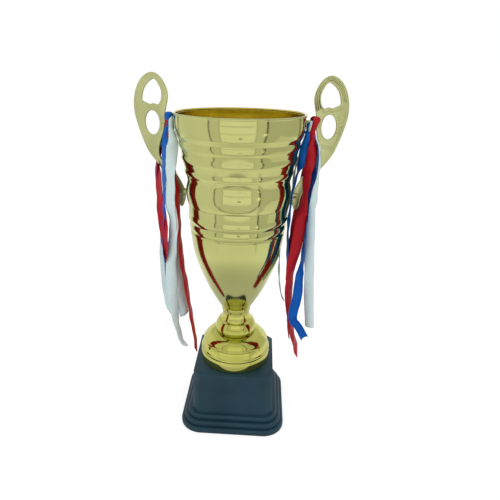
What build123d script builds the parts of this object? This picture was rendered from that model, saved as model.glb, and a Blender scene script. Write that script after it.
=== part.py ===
from build123d import *
import math
import os

# Cup trophy: a square plinth, a bell foot, a turned stem, a two-part spun bowl,
# two flat moulded handles and three satin ribbons tied to each handle.
# Millimetres, +Z up. The plinth stands on Z = 0 with its centre at the origin,
# the handles lie in the XZ plane and the front of the cup faces -Y.

# ---------------------------------------------------------------- plinth
FOOT_HALF_WIDTH = 55.0          # lowest step, half of the square's side
FOOT_CORNER_RADIUS = 22.5
MIDDLE_LEDGE_WIDTH = 3.5        # each step is this much smaller than the one below
UPPER_LEDGE_WIDTH = 4.0
STEP_HEIGHT = 5.6               # all three moulded steps are alike
STEP_NOSE_RADIUS = 2.3          # rounding on top of each step
STEP_UNDERCUT_RADIUS = 0.9      # rounding under the nose
PLINTH_HEIGHT = 63.7
PLINTH_BODY_INSET = 4.5         # foot of the plain body inside the upper step
PLINTH_DRAFT = 1.7              # lean of each side from foot to top
PLINTH_CHAMFER = 7.4            # flat cut on each upright corner
PLINTH_WALL = 2.5
PLINTH_BOSS_RADIUS = 11.0       # boss under the top plate that the nut pulls on
PLINTH_BOSS_DEPTH = 4.0
COVER_THICKNESS = 2.0           # fibreboard cover pressed into the open underside
COVER_FIT = 0.3                 # gap all round the cover
FELT_THICKNESS = 0.9
FELT_MARGIN = 2.5               # felt stops this far inside the cover's edge
BALLAST_HEIGHT = 20.0
BALLAST_CLEARANCE = 1.0         # side gap between ballast and plinth body

# ---------------------------------------------------------------- bell and stem
BELL_RADIUS = 37.0
BELL_HEIGHT = 32.8
BELL_LIP_HEIGHT = 9.6           # upright band that stands on the plinth
BELL_LIP_DRAFT = 0.5
BELL_TOP_RADIUS = 20.0
BELL_WALL = 2.0
BELL_RIDGE_RISE = 0.7           # two thin ridges round the bell
BELL_RIDGE_WIDTH = 2.2
BELL_COLLAR_HEIGHT = 3.0        # centring collar that enters the stem
STEM_HEIGHT = 29.3
STEM_BEAD_RADIUS = 22.6
STEM_BEAD_HEIGHT = 12.4
STEM_BEAD_SHOULDER = 3.8        # how far the bead's top lies inside its widest place
STEM_SEAT_LIP = 0.9             # stem's foot stands this far proud of the bell's top
STEM_NECK_FLARE = 1.0
STEM_NECK_RADIUS = 13.9
STEM_TOP_RADIUS = 15.4
STEM_WALL = 2.4
STEM_SPIGOT_RADIUS = 5.5        # centres the bowl's floor
FIT_CLEARANCE = 0.2             # radial gap of each centring collar

# ---------------------------------------------------------------- bowl
CUP_WALL = 0.9
LOWER_CUP_HEIGHT = 111.6
LOWER_CUP_RADIUS = 47.8         # plain band at the top of the lower half
GROOVE_DEPTH = 1.1              # the two grooves that set off the beads
BEAD_HEIGHT = 6.2
SPIGOT_STEP = 1.4               # the lower half's neck is this much smaller
SPIGOT_HEIGHT = 4.5
SEAM_FIT = 0.1                  # radial gap between neck and rolled edge
BOWL_EDGE_RADIUS = 48.5         # rolled lower edge that overhangs the lower half
BOWL_EDGE_HEIGHT = 2.0
BULGE_RADIUS = 50.0
BULGE_RISE = 11.1               # widest place of the bulge above the seam
BULGE_TOP_RISE = 22.5
RIM_RADIUS = 59.9
RIM_ROLL_RADIUS = 1.2

# Plain bands of the upper half, from the bulge to the rim: how far each end lies
# inside the rim's radius, and its height above the seam.
BAND_ENDS = (
    ((9.8, 28.0), (8.9, 34.2)),
    ((7.0, 40.1), (6.2, 46.8)),
    ((5.2, 51.5), (4.0, 59.7)),
    ((1.5, 64.0), (0.2, 73.0)),
)
RIM_BAND_HEIGHT = 10.2          # from the last band's top to the top of the rolled rim
BAND_BULGE = 0.6                # each band swells out by this much at its middle

# ---------------------------------------------------------------- tie bolt
BOLT_RADIUS = 3.0
BOLT_HOLE_RADIUS = 3.3
BOLT_HEAD_FLATS = 10.0          # across flats, head and nut
BOLT_HEAD_HEIGHT = 4.0
BOLT_END = 2.0                  # thread past the nut
NUT_HEIGHT = 5.0
THREAD_CLEARANCE = 0.05
CUP_WASHER_RADIUS = 11.0
CUP_WASHER_THICKNESS = 1.2
PLINTH_WASHER_RADIUS = 9.0
PLINTH_WASHER_THICKNESS = 1.6

# ---------------------------------------------------------------- handles
HANDLE_THICKNESS = 3.6
HANDLE_EDGE_CHAMFER = 0.5
HANDLE_GAP = 1.3                # lobe to bowl, bridged by the lower boss
LOBE_DROP = 2.5                 # lobe's contact below the widest place of the bulge
PEG_RADIUS = 3.2                # short round arm to the bowl, which the ribbons hang on
PEG_RISE = 66.0                 # peg above the lobe's contact point
PEG_LENGTH_IN_HANDLE = 21.5
LOWER_BOSS_RADIUS = 3.2
LOWER_BOSS_LENGTH = 5.5
OVAL_CENTRE = (30.1, 63.8)
OVAL_SIZE = (13.1, 21.5)
SEAT_GAP = 0.1                  # handle bosses to the bowl's wall
SCREW_RADIUS = 1.5
SCREW_HOLE_RADIUS = 1.8
SCREW_HEAD_RADIUS = 2.8
SCREW_HEAD_HEIGHT = 1.8
SCREW_DRIVE = (3.4, 0.8, 0.9)   # slot: length, width, depth
SCREW_LENGTH = 7.0
PILOT_DEPTH = 8.0               # screw hole in the handle, from the bowl's wall
SCREW_WASHER_RADIUS = 3.4
SCREW_WASHER_THICKNESS = 0.6

# Outline of a handle, as (outwards, up) from where its lobe meets the bowl.
# It runs up the outside from the lobe, round the top and down the inside.
HANDLE_OUTLINE = (
    (8.6, -7.0), (10.2, 0.5), (12.4, 5.0), (17.2, 12.6), (26.0, 25.8), (34.4, 37.0),
    (40.4, 50.8), (44.3, 63.5), (46.3, 74.0), (46.3, 82.0), (43.2, 94.5), (37.4, 103.1),
    (28.5, 107.0), (22.0, 103.6), (17.5, 96.8), (15.3, 89.0), (16.3, 81.0), (17.8, 74.0),
    (18.5, 66.0), (20.2, 56.0), (23.4, 46.2), (24.9, 38.0), (24.2, 33.0), (20.5, 28.0),
    (14.5, 23.0), (8.5, 15.6), (3.2, 5.5), (1.3, 0.0), (1.8, -9.0), (5.0, -14.8),
)
TEARDROP_OUTLINE = (
    (28.1, 101.2), (33.2, 97.6), (36.9, 92.0), (38.4, 86.5), (38.2, 82.8), (36.4, 81.8),
    (34.0, 80.7), (32.2, 80.0), (30.6, 80.1), (28.7, 80.7), (26.8, 80.0), (25.0, 79.7),
    (22.9, 81.4), (21.2, 86.0), (21.4, 92.4), (23.9, 97.8),
)

# ---------------------------------------------------------------- ribbons
RIBBON_THICKNESS = 0.4
RIBBON_GATHER = 1.6             # width of a ribbon bunched up on the peg
RIBBON_SPACING = 0.4            # gap between two bunched ribbons
RIBBON_LAYER = 1.0              # pitch of the layers that hang one before the other
RIBBON_PEG_GAP = 0.3
RIBBON_FOLD_RADIUS = 2.4        # bends of the loop round the peg
RIBBON_RIM_GAP = 0.7            # rolled rim to the nearest ribbon

# How each side's tails hang away from the handle, as (forwards, down from the peg).
RIBBON_HANG = {
    -1: ((0.0, 8.0), (8.0, 28.0), (17.0, 50.0), (23.0, 80.0), (24.0, 245.0)),
    1: ((0.0, 8.0), (7.0, 25.0), (13.0, 45.0), (17.0, 75.0), (19.0, 245.0)),
}

# Each ribbon: side, place along the peg, layer, height of its loop above the peg,
# and its tails. A tail is a list of (outwards from the rim, down from the peg, width).
RIBBONS = {
    "ribbon_left_white": (-1, 0, 1, 6.0, (
        ((0.3, 16, 7.5), (0.6, 29, 10), (1.8, 41, 10), (0.8, 63, 8.5), (-1.9, 86, 8), (-1.7, 105, 9), (0.6, 147, 10),
         (-0.6, 181, 9), (-3.4, 205, 5), (-8.5, 221, 3)),
        ((7.4, 17, 4.5), (11.1, 52, 3.5), (12.8, 85, 5), (11.2, 120, 7.5), (10.0, 157, 7), (5.3, 193, 4)),
        ((0.5, 75, 5.5), (-1.4, 120, 8), (-5.2, 157, 10), (-8.2, 188, 8.5)),
    )),
    "ribbon_left_red": (-1, 1, 0, 5.5, (
        ((0.0, 24, 4.5), (-4.1, 43, 4), (-5.2, 68, 5), (-6.6, 92, 4.5), (-8.3, 127, 4.5), (-14.4, 171, 4.5),
         (-17.2, 195, 3), (-20.4, 232, 2)),
        ((10.6, 17, 4.5), (14.4, 39, 4), (12.2, 61, 5.5), (8.7, 89, 8.5), (6.8, 108, 4.5), (7.2, 131, 2)),
    )),
    "ribbon_left_blue": (-1, 2, 2, 10.5, (
        ((5.8, 9, 3), (7.0, 23, 5), (7.3, 39, 3.5), (6.2, 62, 2.5), (7.4, 83, 3), (5.4, 104, 2), (5.2, 122, 2)),
    )),
    "ribbon_right_blue": (1, 0, 1, 5.5, (
        ((1.9, 9, 3.9), (-0.4, 22, 7), (-1.8, 30, 7.3), (-4.8, 39, 3.7), (-7.9, 48, 2.5), (-9.2, 67, 2), (-11.0, 91, 3),
         (-10.9, 116, 2.5), (-10.5, 139, 2)),
        ((7.5, 9, 2.7), (11.3, 26, 3), (10.3, 44, 4.8), (8.3, 62, 4), (5.9, 83, 3), (5.6, 114, 3), (4.0, 133, 5),
         (2.0, 153, 9), (-1.1, 177, 8.8), (3.7, 186, 7.4), (10.7, 204, 8)),
    )),
    "ribbon_right_white": (1, 1, 0, 5.0, (
        ((10.6, 22, 3), (13.7, 48, 3.5), (12.8, 68, 6.4), (10.3, 92, 8.4), (11.9, 127, 9.5), (13.9, 159, 9.9),
         (17.2, 199, 8.7)),
        ((2.6, 16, 2), (-6.0, 60, 2), (-9.5, 85, 1.5), (-17.1, 118, 1), (-16.7, 137, 1), (-14.6, 154, 1), (-11.0, 173, 1)),
    )),
    "ribbon_right_red": (1, 2, 2, 8.0, (
        ((5.0, 10, 2.5), (5.8, 18, 6.2), (3.9, 29, 9.4), (1.4, 47, 9.3), (0.2, 63, 8), (-1.8, 84, 11.5), (-3.5, 113, 12),
         (-6.5, 133, 9.3), (-7.3, 157, 6.3), (-3.6, 188, 5), (1.4, 212, 5), (6.5, 231, 2)),
    )),
}

# ---------------------------------------------------------------- derived heights
STEM_FOOT = PLINTH_HEIGHT + BELL_HEIGHT
CUP_FOOT = STEM_FOOT + STEM_HEIGHT
SEAM = CUP_FOOT + LOWER_CUP_HEIGHT
UPPER_BOWL_HEIGHT = BAND_ENDS[-1][1][1] + RIM_BAND_HEIGHT
RIM_HEIGHT = SEAM + UPPER_BOWL_HEIGHT
LOBE_HEIGHT = SEAM + BULGE_RISE - LOBE_DROP
PEG_HEIGHT = LOBE_HEIGHT + PEG_RISE
BULGE_DROP = BULGE_RADIUS - BOWL_EDGE_RADIUS
BULGE_CURVE = ((BULGE_TOP_RISE - BULGE_RISE) ** 2 + BULGE_DROP**2) / (2 * BULGE_DROP)


def bore(radius, low, high):
    """An upright round plug, used to drill a hole or to add a boss."""
    return Pos(0, 0, low) * Cylinder(radius, high - low, align=(Align.CENTER, Align.CENTER, Align.MIN))


def turned(edges):
    """A solid of revolution about Z from edges drawn as (radius, height)."""
    curve = Curve() + edges
    start, end = curve.edges()[0] @ 0, curve.edges()[-1] @ 1
    closing = Polyline((end.X, end.Y), (0, end.Y), (0, start.Y), (start.X, start.Y))
    return revolve(Plane.XZ * make_face(curve + closing), Axis.Z)


# ---------------------------------------------------------------- plinth pieces
def plinth_steps():
    """Half width, corner radius, foot and top of each moulded step, lowest first."""
    steps = []
    half, corner = FOOT_HALF_WIDTH, FOOT_CORNER_RADIUS
    for index, inset in enumerate((0, MIDDLE_LEDGE_WIDTH, UPPER_LEDGE_WIDTH)):
        half, corner = half - inset, corner - inset
        steps.append((half, corner, index * STEP_HEIGHT, (index + 1) * STEP_HEIGHT))
    return steps


def plinth_body(inset, low, high):
    """The leaning body with cut corners, made smaller by inset, between two heights."""
    top_step = plinth_steps()[-1]
    foot_half = top_step[0] - PLINTH_BODY_INSET
    lean = PLINTH_DRAFT / (PLINTH_HEIGHT - top_step[3])
    corner = PLINTH_CHAMFER - inset * (2 - math.sqrt(2))
    sections = []
    for height in (low, high):
        half = foot_half - inset - lean * (height - top_step[3])
        square = Rectangle(2 * half, 2 * half)
        sections.append(Pos(0, 0, height) * chamfer(square.vertices(), corner))
    return loft([section.face() for section in sections], ruled=True)


def make_plinth_shell():
    steps = plinth_steps()
    shell = plinth_body(0, steps[-1][2], PLINTH_HEIGHT)
    for half, corner, low, high in steps:
        slab = Pos(0, 0, low) * extrude(RectangleRounded(2 * half, 2 * half, corner), high - low)
        slab = fillet(slab.edges().group_by(Axis.Z)[-1], STEP_NOSE_RADIUS)
        shell += fillet(slab.edges().group_by(Axis.Z)[0], STEP_UNDERCUT_RADIUS)
    ceilings = [cover_seat(), steps[1][3] - PLINTH_WALL, steps[2][3] - PLINTH_WALL]
    for (half, corner, _, _), ceiling in zip(steps, ceilings):
        side = 2 * (half - PLINTH_WALL)
        shell -= extrude(RectangleRounded(side, side, corner - PLINTH_WALL), ceiling)
    shell -= plinth_body(PLINTH_WALL, steps[-1][2], PLINTH_HEIGHT - PLINTH_WALL)
    shell += bore(PLINTH_BOSS_RADIUS, PLINTH_HEIGHT - PLINTH_WALL - PLINTH_BOSS_DEPTH, PLINTH_HEIGHT)
    return shell - bore(BOLT_HOLE_RADIUS, 0, PLINTH_HEIGHT)


def cover_seat():
    """Height of the ledge inside the lowest step that the cover is pressed against."""
    return FELT_THICKNESS + COVER_THICKNESS


def make_plinth_cover():
    half, corner = plinth_steps()[0][:2]
    side = 2 * (half - PLINTH_WALL - COVER_FIT)
    board = extrude(RectangleRounded(side, side, corner - PLINTH_WALL - COVER_FIT), COVER_THICKNESS)
    return Pos(0, 0, FELT_THICKNESS) * board


def make_felt_pad():
    half, corner = plinth_steps()[0][:2]
    side = 2 * (half - PLINTH_WALL - COVER_FIT - FELT_MARGIN)
    return extrude(RectangleRounded(side, side, corner - PLINTH_WALL - COVER_FIT - FELT_MARGIN), FELT_THICKNESS)


def make_ballast_block():
    low = cover_seat()
    return plinth_body(PLINTH_WALL + BALLAST_CLEARANCE, low, low + BALLAST_HEIGHT)


# ---------------------------------------------------------------- bell and stem
def bell_outline(inset):
    """Outside of the bell from its lip to its top, or its inside when inset."""
    lip_top = PLINTH_HEIGHT + BELL_LIP_HEIGHT
    dome_height = STEM_FOOT - lip_top
    lip_radius = BELL_RADIUS - BELL_LIP_DRAFT
    spread = lip_radius - BELL_TOP_RADIUS
    shape = ((1.0, 0.0), (0.966, 0.15), (0.885, 0.40), (0.81, 0.63), (0.66, 0.80), (0.44, 0.91), (0.0, 1.0))
    points = [(BELL_TOP_RADIUS + out * spread - inset, lip_top + up * dome_height) for out, up in shape]
    lip = Line((BELL_RADIUS - inset, PLINTH_HEIGHT), points[0])
    return [lip, Spline(*points)]


def bell_ridge(out_share, up_share):
    """A thin half-round ring laid round the bell."""
    lip_top = PLINTH_HEIGHT + BELL_LIP_HEIGHT
    radius = BELL_TOP_RADIUS + out_share * (BELL_RADIUS - BELL_LIP_DRAFT - BELL_TOP_RADIUS)
    height = lip_top + up_share * (STEM_FOOT - lip_top)
    ring = turned([
        Line((radius - BELL_WALL / 2, height - BELL_RIDGE_WIDTH / 2), (radius, height - BELL_RIDGE_WIDTH / 2)),
        ThreePointArc((radius, height - BELL_RIDGE_WIDTH / 2), (radius + BELL_RIDGE_RISE, height),
                      (radius, height + BELL_RIDGE_WIDTH / 2)),
        Line((radius, height + BELL_RIDGE_WIDTH / 2), (radius - BELL_WALL / 2, height + BELL_RIDGE_WIDTH / 2)),
    ])
    return ring - bore(radius - BELL_WALL / 2, height - BELL_RIDGE_WIDTH, height + BELL_RIDGE_WIDTH)


def make_bell():
    bell = turned(bell_outline(0))
    hollow = turned(bell_outline(BELL_WALL))
    bell -= hollow & bore(BELL_RADIUS, PLINTH_HEIGHT, STEM_FOOT - BELL_WALL)
    bell += bell_ridge(0.966, 0.15)
    bell += bell_ridge(0.81, 0.63)
    bell += bore(stem_cavity_radius() - FIT_CLEARANCE, STEM_FOOT - BELL_WALL, STEM_FOOT + BELL_COLLAR_HEIGHT)
    return bell - bore(BOLT_HOLE_RADIUS, PLINTH_HEIGHT, CUP_FOOT)


def stem_cavity_radius():
    """Inside of the bead at the stem's foot."""
    return BELL_TOP_RADIUS - 2 * STEM_WALL


def make_stem():
    neck_foot = STEM_FOOT + STEM_BEAD_HEIGHT + STEM_WALL
    neck_low = STEM_NECK_RADIUS + STEM_NECK_FLARE
    bead_foot = (BELL_TOP_RADIUS + STEM_SEAT_LIP, STEM_FOOT)
    bead_top = (STEM_BEAD_RADIUS - STEM_BEAD_SHOULDER, STEM_FOOT + STEM_BEAD_HEIGHT)
    stem = turned([
        ThreePointArc(bead_foot, (STEM_BEAD_RADIUS, STEM_FOOT + STEM_BEAD_HEIGHT * 0.38), bead_top),
        Line(bead_top, (neck_low, neck_foot)),
        Spline((neck_low, neck_foot), (STEM_NECK_RADIUS, (neck_foot + CUP_FOOT) / 2), (STEM_TOP_RADIUS, CUP_FOOT)),
    ])
    stem += bore(STEM_SPIGOT_RADIUS, CUP_FOOT - STEM_WALL, CUP_FOOT + CUP_WALL - FIT_CLEARANCE)
    stem -= bore(stem_cavity_radius(), STEM_FOOT, STEM_FOOT + STEM_BEAD_HEIGHT - STEM_WALL)
    stem -= bore(STEM_NECK_RADIUS - STEM_WALL, STEM_FOOT, CUP_FOOT - STEM_WALL)
    return stem - bore(BOLT_HOLE_RADIUS, STEM_FOOT, CUP_FOOT + CUP_WALL)


# ---------------------------------------------------------------- bowl
def lower_cup_outline(inset):
    """The egg-shaped lower half up to its plain band, with two beads between grooves."""
    band = LOWER_CUP_RADIUS - inset
    groove = band - GROOVE_DEPTH
    band_foot = SEAM - LOWER_CUP_HEIGHT * 0.092
    upper_groove = band_foot - BEAD_HEIGHT - GROOVE_DEPTH
    lower_groove = upper_groove - BEAD_HEIGHT - GROOVE_DEPTH
    shape_foot = lower_groove - GROOVE_DEPTH
    spread = groove - (STEM_TOP_RADIUS - inset)
    rise = shape_foot - CUP_FOOT
    shape = ((0.0, 0.0), (0.104, 0.057), (0.332, 0.20), (0.52, 0.342), (0.75, 0.545), (0.905, 0.745), (1.0, 1.0))
    egg = [(STEM_TOP_RADIUS - inset + out * spread, CUP_FOOT + up * rise) for out, up in shape]
    low, high = groove - GROOVE_DEPTH / 2, groove
    return [
        Spline(*egg),
        Line(egg[-1], (low - GROOVE_DEPTH / 2, lower_groove)),
        ThreePointArc((low - GROOVE_DEPTH / 2, lower_groove), (groove + 0.3, lower_groove + BEAD_HEIGHT / 2),
                      (low, lower_groove + BEAD_HEIGHT)),
        Line((low, lower_groove + BEAD_HEIGHT), (low, upper_groove)),
        ThreePointArc((low, upper_groove), (band + 0.2, upper_groove + BEAD_HEIGHT / 2),
                      (high, upper_groove + BEAD_HEIGHT)),
        Line((high, upper_groove + BEAD_HEIGHT), (band, band_foot)),
        Line((band, band_foot), (band, SEAM)),
    ]


def make_lower_cup():
    neck = LOWER_CUP_RADIUS - SPIGOT_STEP
    cup = turned(lower_cup_outline(0)) + bore(neck, SEAM - CUP_WALL, SEAM + SPIGOT_HEIGHT)
    hollow = turned(lower_cup_outline(CUP_WALL)) & bore(LOWER_CUP_RADIUS, CUP_FOOT + CUP_WALL, SEAM - CUP_WALL)
    cup -= hollow + bore(neck - CUP_WALL, SEAM - 2 * CUP_WALL, SEAM + SPIGOT_HEIGHT)
    return cup - bore(STEM_SPIGOT_RADIUS + FIT_CLEARANCE, CUP_FOOT, CUP_FOOT + CUP_WALL)


def bulge_radius(rise):
    """Outer radius of the bulge at a height above the seam."""
    return BULGE_RADIUS - BULGE_CURVE + math.sqrt(BULGE_CURVE**2 - (rise - BULGE_RISE) ** 2)


def bowl_points():
    """Ends of the shoulders and bands above the bulge in turn, as (radius, rise)."""
    points = [(bulge_radius(BULGE_TOP_RISE), BULGE_TOP_RISE)]
    for ends in BAND_ENDS:
        points += [(RIM_RADIUS - inside, rise) for inside, rise in ends]
    return points + [(RIM_RADIUS, UPPER_BOWL_HEIGHT - RIM_ROLL_RADIUS)]


def bowl_radius(rise):
    """Outer radius of the upper half at a height above the seam."""
    if rise <= BULGE_TOP_RISE:
        return bulge_radius(rise)
    points = bowl_points()
    for (low_radius, low), (high_radius, high) in zip(points, points[1:]):
        if rise <= high:
            return low_radius + (high_radius - low_radius) * (rise - low) / (high - low)
    return points[-1][0]


def bowl_solid(inset):
    """The upper half filled in, made smaller by inset, without its rolled rim."""
    foot, middle, top = BOWL_EDGE_HEIGHT, BULGE_RISE, BULGE_TOP_RISE
    arc = ThreePointArc(*[(bulge_radius(rise) - inset, SEAM + rise) for rise in (foot, middle, top)])
    points = [(radius - inset, SEAM + rise) for radius, rise in bowl_points()]
    stretches = []
    for index, (low, high) in enumerate(zip(points, points[1:])):
        swell = ((low[0] + high[0]) / 2 + BAND_BULGE, (low[1] + high[1]) / 2)
        stretches.append(ThreePointArc(low, swell, high) if index % 2 else Line(low, high))
    edge = Line((bulge_radius(foot) - inset, SEAM), (bulge_radius(foot) - inset, SEAM + foot))
    return turned([edge, arc, *stretches])


def make_upper_bowl():
    neck = LOWER_CUP_RADIUS - SPIGOT_STEP + SEAM_FIT
    roll = Torus(RIM_RADIUS - CUP_WALL / 2, RIM_ROLL_RADIUS)
    bowl = bowl_solid(0)
    bowl -= bowl_solid(CUP_WALL) & bore(RIM_RADIUS, SEAM + BOWL_EDGE_HEIGHT, RIM_HEIGHT)
    bowl -= bore(neck, SEAM, SEAM + BOWL_EDGE_HEIGHT)
    bowl += Pos(0, 0, RIM_HEIGHT - RIM_ROLL_RADIUS) * roll
    for side, height in screw_places():
        bowl -= screw_axis(side, height, RIM_RADIUS / 2) * Cylinder(SCREW_HOLE_RADIUS, RIM_RADIUS)
    return bowl


# ---------------------------------------------------------------- tie bolt and its washers
def hexagon(height):
    return extrude(RegularPolygon(BOLT_HEAD_FLATS / 2, 6, major_radius=False), height)


def make_cup_washer():
    low = CUP_FOOT + CUP_WALL
    washer = bore(CUP_WASHER_RADIUS, low, low + CUP_WASHER_THICKNESS)
    return washer - bore(BOLT_HOLE_RADIUS, low, low + CUP_WASHER_THICKNESS)


def nut_top():
    """Top of the nut, under the washer on the plinth's boss."""
    return PLINTH_HEIGHT - PLINTH_WALL - PLINTH_BOSS_DEPTH - PLINTH_WASHER_THICKNESS


def make_plinth_washer():
    washer = bore(PLINTH_WASHER_RADIUS, nut_top(), nut_top() + PLINTH_WASHER_THICKNESS)
    return washer - bore(BOLT_HOLE_RADIUS, nut_top(), nut_top() + PLINTH_WASHER_THICKNESS)


def make_tie_bolt():
    head_foot = CUP_FOOT + CUP_WALL + CUP_WASHER_THICKNESS
    shank = bore(BOLT_RADIUS, nut_top() - NUT_HEIGHT - BOLT_END, head_foot)
    return shank + Pos(0, 0, head_foot) * hexagon(BOLT_HEAD_HEIGHT)


def make_plinth_nut():
    nut = Pos(0, 0, nut_top() - NUT_HEIGHT) * hexagon(NUT_HEIGHT)
    return nut - bore(BOLT_RADIUS + THREAD_CLEARANCE, nut_top() - NUT_HEIGHT, nut_top())


# ---------------------------------------------------------------- handles and their screws
def screw_places():
    """Side and height of the four screws, lower pair first."""
    return [(side, height) for height in (LOBE_HEIGHT, PEG_HEIGHT) for side in (1, -1)]


def screw_axis(side, height, distance):
    """A frame on the X axis at a height, its own Z pointing away from the bowl's axis."""
    return Location((side * distance, 0, height), (0, side * 90, 0))


def washer_face(height):
    """Distance from the bowl's axis to the washer's outer face, where its edge meets the wall."""
    rises = [height - SEAM - SCREW_WASHER_RADIUS, height - SEAM + SCREW_WASHER_RADIUS]
    inner = min(bowl_radius(rise) for rise in rises) - CUP_WALL
    return math.sqrt(inner**2 - SCREW_WASHER_RADIUS**2) - THREAD_CLEARANCE


def along_x(radius, near, far, height):
    """A round bar on the right side from one distance to another."""
    bar = Cylinder(radius, far - near, align=(Align.CENTER, Align.CENTER, Align.MIN))
    return screw_axis(1, height, near) * bar


def make_handle():
    """The right handle: a flat plate with two openings, a peg and a boss that meet the bowl."""
    outline = make_face(Spline(*HANDLE_OUTLINE, periodic=True))
    outline -= make_face(Spline(*TEARDROP_OUTLINE, periodic=True))
    outline -= Pos(*OVAL_CENTRE) * Ellipse(OVAL_SIZE[0] / 2, OVAL_SIZE[1] / 2)
    plate = extrude(Plane.XZ * outline, HANDLE_THICKNESS / 2, both=True)
    faces = plate.faces().sort_by(Axis.Y)
    plate = chamfer(faces[0].edges() + faces[-1].edges(), HANDLE_EDGE_CHAMFER)
    handle = Pos(BULGE_RADIUS, 0, LOBE_HEIGHT) * plate
    peg_root = bowl_radius(PEG_HEIGHT - SEAM) - CUP_WALL
    handle += along_x(PEG_RADIUS, peg_root, BULGE_RADIUS + PEG_LENGTH_IN_HANDLE, PEG_HEIGHT)
    boss_end = BULGE_RADIUS + LOWER_BOSS_LENGTH
    handle += along_x(LOWER_BOSS_RADIUS, BULGE_RADIUS - CUP_WALL, boss_end, LOBE_HEIGHT)
    handle -= bowl_solid(-SEAT_GAP)
    for height in (LOBE_HEIGHT, PEG_HEIGHT):
        wall = bowl_radius(height - SEAM)
        handle -= along_x(SCREW_RADIUS + THREAD_CLEARANCE, wall - CUP_WALL, wall + PILOT_DEPTH, height)
    return handle


def make_screw(side, height):
    """A slotted screw from inside the bowl through its wall into the handle."""
    head_face = washer_face(height) - SCREW_WASHER_THICKNESS
    screw = Pos(0, 0, -SCREW_HEAD_HEIGHT / 2) * Cylinder(SCREW_HEAD_RADIUS, SCREW_HEAD_HEIGHT)
    length, width, depth = SCREW_DRIVE
    screw -= Pos(0, 0, -SCREW_HEAD_HEIGHT) * Box(length, width, 2 * depth)
    screw += bore(SCREW_RADIUS, 0, SCREW_LENGTH)
    return screw_axis(side, height, head_face) * screw


def make_screw_washer(side, height):
    washer = Cylinder(SCREW_WASHER_RADIUS, SCREW_WASHER_THICKNESS) - Cylinder(SCREW_HOLE_RADIUS, RIM_RADIUS)
    return screw_axis(side, height, washer_face(height) - SCREW_WASHER_THICKNESS / 2) * washer


# ---------------------------------------------------------------- ribbons
def ribbon_tail(points):
    """The flat outline of one hanging tail in (outwards, up) from (outwards, down, width)."""
    near_side = [(out - width / 2, -down) for out, down, width in points]
    far_side = [(out + width / 2, -down) for out, down, width in reversed(points)]
    return make_face(Polyline(*near_side, *far_side, close=True))


def ribbon_drape(side, depth):
    """A wide sheet hung from the peg, seen edge on from the side, that the tails are cut from."""
    route = [(-depth, 0), *[(-depth - forwards, -down) for forwards, down in RIBBON_HANG[side]]]
    back = [(forwards - RIBBON_THICKNESS, up) for forwards, up in reversed(route)]
    return extrude(Plane.YZ * make_face(Polyline(*route, *back, close=True)), RIM_RADIUS, both=True)


def make_ribbon(side, place, layer, loop_rise, tails):
    """One ribbon: a loop bunched on the peg and flat tails that hang down in front of the handle."""
    first = RIM_ROLL_RADIUS - CUP_WALL / 2 + RIBBON_RIM_GAP
    near = first + place * (RIBBON_GATHER + RIBBON_SPACING)
    depth = PEG_RADIUS + RIBBON_PEG_GAP + layer * RIBBON_LAYER
    foot = -PEG_RADIUS - RIBBON_PEG_GAP - RIBBON_THICKNESS
    tall, fold = loop_rise - foot, RIBBON_FOLD_RADIUS
    outer = RectangleRounded(2 * (depth + RIBBON_THICKNESS), tall, fold + RIBBON_THICKNESS)
    inner = RectangleRounded(2 * depth, tall - 2 * RIBBON_THICKNESS, fold)
    loop = extrude(Plane.YZ * (Pos(0, (loop_rise + foot) / 2) * (outer - inner)), RIBBON_GATHER)
    ribbon = Pos(near, 0, 0) * loop
    drape = ribbon_drape(side, depth)
    for points in tails:
        middle = near + RIBBON_GATHER / 2
        gathered = [(middle, 0, RIBBON_GATHER), (middle, -foot + RIBBON_PEG_GAP, RIBBON_GATHER)]
        ribbon += drape & extrude(Plane.XZ * ribbon_tail([*gathered, *points]), RIM_RADIUS)
    ribbon = Pos(RIM_RADIUS, 0, PEG_HEIGHT) * ribbon
    return ribbon if side > 0 else mirror(ribbon, Plane.YZ)


# ---------------------------------------------------------------- nodes
def make_nodes():
    """Every sub-part by its node name."""
    handle = make_handle()
    lower_pair, upper_pair = screw_places()[:2], screw_places()[2:]
    nodes = {
        "plinth_shell": make_plinth_shell(),
        "plinth_cover": make_plinth_cover(),
        "felt_pad": make_felt_pad(),
        "ballast_block": make_ballast_block(),
        "bell": make_bell(),
        "stem": make_stem(),
        "lower_cup": make_lower_cup(),
        "upper_bowl": make_upper_bowl(),
        "tie_bolt": make_tie_bolt(),
        "cup_washer": make_cup_washer(),
        "plinth_washer": make_plinth_washer(),
        "plinth_nut": make_plinth_nut(),
        "handle_right": handle,
        "handle_left": Rot(0, 0, 180) * handle,
        "lower_screws": Compound(children=[make_screw(*place) for place in lower_pair]),
        "upper_screws": Compound(children=[make_screw(*place) for place in upper_pair]),
        "screw_washers": Compound(children=[make_screw_washer(*place) for place in screw_places()]),
    }
    for name, values in RIBBONS.items():
        nodes[name] = make_ribbon(*values)
    return nodes


os.makedirs("parts", exist_ok=True)
for node_name, shape in make_nodes().items():
    export_step(shape, f"parts/{node_name}.step")
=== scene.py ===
import math

import bmesh
import bpy
from mathutils import Matrix, Vector


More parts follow.
